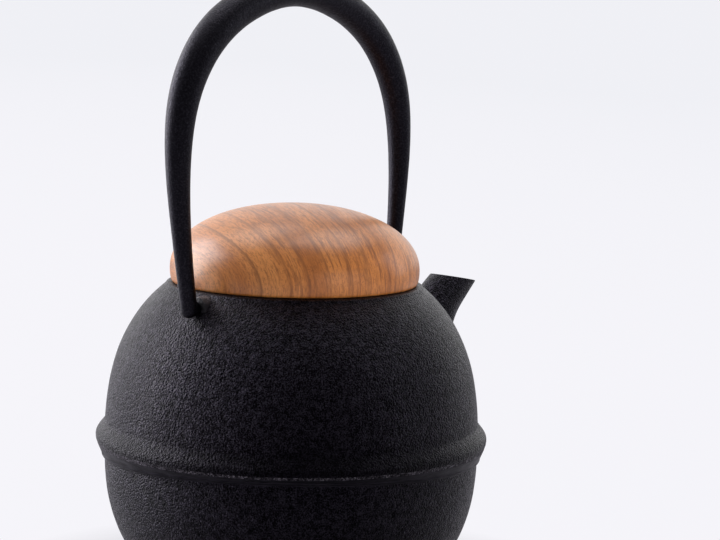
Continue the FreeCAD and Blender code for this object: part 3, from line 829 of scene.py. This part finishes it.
# ======================================================================================================
# lid
# ======================================================================================================
def lid_wood(wood):
    """Turned dome with a softly rounded lower edge, a seat step and a grooved spigot."""
    radius, dome = LID_HIGH[0], LID_HIGH[2] - LID_GIRTH
    quarter = [math.pi / 2 * i / DOME_ROWS for i in range(DOME_ROWS + 1)]
    outline = [(radius * math.sin(t) ** (2 / LID_POWER), LID_GIRTH + dome * math.cos(t) ** (2 / LID_POWER))
               for t in quarter]
    drop = LID_GIRTH - LID_BOTTOM
    outline += [(radius - (radius - LID_EDGE) * s ** LID_TUCK, LID_GIRTH - drop * s * TUCK_END)
                for s in levels(TUCK_START, TUCK_END, 14)]
    outline += [(LID_EDGE - 0.25 * MM, LID_BOTTOM + 0.12 * MM), (LID_EDGE - 0.8 * MM, LID_BOTTOM)]
    outline += straight((LID_EDGE - 1.2 * MM, LID_BOTTOM), (SEAT_RADIUS, LID_BOTTOM), 3)
    outline += [(SEAT_RADIUS, LID_BOTTOM), (SEAT_RADIUS, SEAT_Z + 0.2 * MM)]
    outline += [(SEAT_RADIUS - 0.2 * MM, SEAT_Z), (SPIGOT_RADIUS, SEAT_Z)]
    outline += [(SPIGOT_RADIUS, GROOVE_TOP), (GROOVE_RADIUS, GROOVE_TOP), (GROOVE_RADIUS, GROOVE_LOW)]
    outline += [(SPIGOT_RADIUS, GROOVE_LOW), (SPIGOT_RADIUS, SPIGOT_Z + 0.4 * MM)]
    outline += [(SPIGOT_RADIUS - 0.4 * MM, SPIGOT_Z)]
    outline += straight((SPIGOT_RADIUS - 3 * MM, SPIGOT_Z), (2 * MM, SPIGOT_Z), 6) + [(0.0, SPIGOT_Z)]
    piece = revolve("lid_turned_wood", outline, LID_TURNS, wood)
    tidy_normals(piece)
    sharp = piece.modifiers.new("edges", "EDGE_SPLIT")
    sharp.split_angle = math.radians(50)
    return piece


# ======================================================================================================
# strainer
# ======================================================================================================
def punched_cell(vertex, corner, across, up, share):
    """Vertices of one cell's eight-sided hole, and the faces from them to the cell's rim."""
    inner = []
    for k in range(8):
        angle = math.pi / 4 * k + math.pi / 8
        u, v = 0.5 + share * math.cos(angle) / 2, 0.5 + share * math.sin(angle) / 2
        inner.append(vertex(corner[0] + across * u, corner[1] + up * v))
    rim = [(1, 0.5), (1, 1), (0.5, 1), (0, 1), (0, 0.5), (0, 0), (0.5, 0), (1, 0)]
    outer = [vertex(corner[0] + across * u, corner[1] + up * v) for u, v in rim]
    return inner, [(inner[k - 1], outer[k - 1], outer[k], inner[k]) for k in range(8)]


def thicken(piece):
    """Gives a surface the thickness of the sheet."""
    thick = piece.modifiers.new("sheet", "SOLIDIFY")
    thick.thickness = VISUAL_SHEET
    thick.offset = 0.0


def perforated_wall(steel):
    """Sheet cylinder with rows of small holes and plain margins at top and bottom."""
    pitch = (WALL_TOP - WALL_LOW - 2 * WALL_MARGIN) / WALL_ROWS
    turn = 2 * math.pi / WALL_COLUMNS
    radius = SLEEVE - SHEET * 1.5
    index, vertices, faces = {}, [], []

    def vertex(u, v):
        key = (round(u / turn * COLUMN_STEPS) % (WALL_COLUMNS * COLUMN_STEPS), round(v / MM * MICRONS))
        if key not in index:
            index[key] = len(vertices)
            angle = key[0] * turn / COLUMN_STEPS
            vertices.append((radius * math.cos(angle), radius * math.sin(angle), v))
        return index[key]

    for column in range(WALL_COLUMNS):
        for row in range(WALL_ROWS):
            corner = (column * turn, WALL_LOW + WALL_MARGIN + row * pitch)
            faces += punched_cell(vertex, corner, turn, pitch, WALL_HOLE)[1]
        for low, high in ((WALL_LOW, WALL_LOW + WALL_MARGIN), (WALL_TOP - WALL_MARGIN, WALL_TOP)):
            for half in (0, 0.5):
                a, b = (column + half) * turn, (column + half + 0.5) * turn
                faces.append((vertex(a, low), vertex(b, low), vertex(b, high), vertex(a, high)))
    piece = make_object("strainer_perforated_wall", vertices, faces, steel)
    tidy_normals(piece)
    thicken(piece)
    return piece


def perforated_floor(steel):
    """Disc with a round field of small holes and a plain rim."""
    index, vertices, faces, holes = {}, [], [], set()

    def vertex(x, y):
        key = (round(x / MM * MICRONS), round(y / MM * MICRONS))
        if key not in index:
            index[key] = len(vertices)
            vertices.append((x, y, WALL_LOW + FLOOR_LIFT))
        return index[key]

    def rim_vertex(inner):
        """The vertex on the disc's edge straight out from one of the field's outermost."""
        x, y, _ = vertices[inner]
        reach = FLOOR_EDGE / math.hypot(x, y)
        return vertex(x * reach, y * reach)

    pitch, cells = FLOOR_PITCH, range(-FLOOR_REACH, FLOOR_REACH)
    for i, j in itertools.product(cells, cells):
        if math.hypot((i + 0.5) * pitch, (j + 0.5) * pitch) <= FLOOR_FIELD - pitch:
            inner, made = punched_cell(vertex, (i * pitch, j * pitch), pitch, pitch, FLOOR_HOLE)
            holes.update(inner)
            faces += made
    uses = collections.Counter(tuple(sorted((face[k - 1], face[k]))) for face in faces for k in range(4))
    for a, b in [edge for edge, count in uses.items() if count == 1 and not holes & set(edge)]:
        faces.append((a, b, rim_vertex(b), rim_vertex(a)))
    piece = make_object("strainer_perforated_floor", vertices, faces, steel)
    tidy_normals(piece)
    thicken(piece)
    return piece


# ======================================================================================================
# studio
# ======================================================================================================
def area_light(name, place, target, size, power, colour):
    """Rectangular lamp that the camera doesn't see."""
    data = bpy.data.lights.new(name, "AREA")
    data.shape = "RECTANGLE"
    data.size, data.size_y = size
    data.energy = power
    data.color = colour
    lamp = bpy.data.objects.new(name, data)
    bpy.context.scene.collection.objects.link(lamp)
    lamp.location = place
    lamp.visible_camera = False
    lamp.rotation_euler = (Vector(target) - Vector(place)).to_track_quat("-Z", "Y").to_euler()
    return lamp


def view_axes():
    """Right, away and up as the camera stands, level with the floor."""
    a = math.radians(VIEW_AZIMUTH)
    return Vector((math.cos(a), math.sin(a), 0)), Vector((-math.sin(a), math.cos(a), 0)), Vector((0, 0, 1))


def glow(tree, colour, strength=1.0):
    """Plain light of one colour."""
    made = tree.nodes.new("ShaderNodeEmission")
    made.inputs[0].default_value = tuple(colour) + (1,)
    made.inputs[1].default_value = strength
    return made


def sweep():
    """White paper under and behind the pot: to the camera an even glow with a soft shadow round the foot."""
    s = Shader("sweep_white")
    s.set(Base_Color=SWEEP_DIFFUSE, Roughness=SWEEP_ROUGHNESS, Specular_IOR_Level=SWEEP_SPECULAR)
    far = s.split(s.mapped(rotation=(0, 0, math.radians(-VIEW_AZIMUTH))))
    depth = s.span(far["Y"], *PAPER_DEPTH)
    side = s.math("MULTIPLY", s.span(far["X"], *PAPER_SIDE), SIDE_SHARE)
    shade = s.mix(s.math("ADD", depth, side, clamp=True), PAPER_NEAR, PAPER_FAR)
    near = s.node("ShaderNodeAmbientOcclusion")
    near.inputs["Distance"].default_value = SHADOW_REACH
    contact = s.span(near.outputs["AO"], 0.0, 1.0, SHADOW_DEPTH, 1.0)
    lit = s.node("ShaderNodeEmission")
    s.link(shade, lit.inputs["Color"])
    s.link(contact, lit.inputs["Strength"])
    path, mix = s.node("ShaderNodeLightPath"), s.node("ShaderNodeMixShader")
    s.link(path.outputs["Is Camera Ray"], mix.inputs[0])
    s.link(s.bsdf.outputs[0], mix.inputs[1])
    s.link(lit.outputs[0], mix.inputs[2])
    s.link(mix.outputs[0], s.out.inputs["Surface"])
    return s.material


def studio():
    """Paper sweep, a pale room, soft boxes at the sides and above, a bright wall and a front fill."""
    right, away, up = view_axes()
    half = SWEEP_HALF
    corners = [(-half, -half, 0), (half, -half, 0), (half, half, 0), (-half, half, 0)]
    floor = make_object("studio_floor", corners, [(0, 1, 2, 3)], sweep(), smooth=False)
    world = bpy.data.worlds.new("studio_world")
    bpy.context.scene.world = world
    world.use_nodes = True
    tree = world.node_tree
    tree.nodes.clear()
    kinds = "ShaderNodeLightPath", "ShaderNodeMixShader", "ShaderNodeOutputWorld"
    path, mix, out = (tree.nodes.new(kind) for kind in kinds)
    tree.links.new(path.outputs["Is Camera Ray"], mix.inputs[0])
    tree.links.new(glow(tree, ROOM_COLOUR, ROOM_LIGHT).outputs[0], mix.inputs[1])
    tree.links.new(glow(tree, PAPER_FAR).outputs[0], mix.inputs[2])
    tree.links.new(mix.outputs[0], out.inputs["Surface"])
    middle = up * AIM_HEIGHT
    for name, (across, depth, height), size, power, colour, mirrored in LIGHTS:
        lamp = area_light(name, right * across + away * depth + up * height, middle, size, power, colour)
        lamp.visible_glossy = mirrored
    bpy.context.scene.view_settings.view_transform = "Standard"


def camera():
    """A long lens from just above the lid, on the side opposite the spout."""
    right, away, up = view_axes()
    pitch = math.radians(VIEW_PITCH)
    back = -away * math.cos(pitch) + up * math.sin(pitch)
    data = bpy.data.cameras.new("camera")
    data.lens, data.sensor_width, data.sensor_fit = LENS, SENSOR, "HORIZONTAL"
    data.clip_start, data.clip_end = CLIP
    eye = bpy.data.objects.new("camera", data)
    bpy.context.scene.collection.objects.link(eye)
    turn = Matrix((right, back.cross(right), back)).transposed().to_4x4()
    turn = turn @ Matrix.Rotation(math.radians(VIEW_ROLL), 4, "Z")
    place = right * VIEW_SIDE + up * VIEW_LEVEL + back * VIEW_DISTANCE
    eye.matrix_world = Matrix.Translation(place) @ turn
    bpy.context.scene.camera = eye


# ======================================================================================================
def main():
    """Builds the camera, every piece with its finish, and the studio."""
    camera()
    iron, inside, coating, wood = cast_iron(), iron_inside(), bar_coating(), turned_wood()
    # painted highlights: a bright ragged line along the rib's edge, and pale tops on the lugs
    highlit_edge_iron, highlit_top_iron = painted_highlight_iron("cast_iron_painted_highlight_edge", 1.0), painted_highlight_iron("cast_iron_painted_highlight_top", 0.0, LUG_TIP_Z)
    round_steel = brushed_steel("steel_turned", (0.3, 0.3, 4.0))
    flat_steel = brushed_steel("steel_sheet", (4.0, 0.3, 0.3))
    rubber = silicone()
    pot = pot_shell(iron, inside, band_iron(), highlit_edge_iron)
    boolean(pot, bore_cutter(iron))
    attach(pot, "pot", "iron", "pot_body")
    attach(spout_casting(iron), "pot", "iron", "spout")
    # the lugs' tops carry a painted highlight
    attach(lug_casting("lug_rear_casting", -1, highlit_top_iron), "pot", "iron", "lug_rear")
    attach(lug_casting("lug_front_casting", 1, highlit_top_iron), "pot", "iron", "lug_front")
    attach(handle_bar(coating), "handle", "handle_coating", "handle")
    attach(lid_wood(wood), "lid", "wood", "lid_dome")
    attach(perforated_wall(round_steel), "strainer", "steel", "strainer_wall")
    attach(perforated_floor(flat_steel), "strainer", "steel", "strainer_floor")
    finishes = {"lid_seal": rubber, "lid_plate": flat_steel, "lid_screws": flat_steel,
                "strainer_rim": round_steel, "strainer_band": round_steel}
    for node, material in finishes.items():
        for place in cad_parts[node].material_slots:
            place.material = material
    studio()


main()
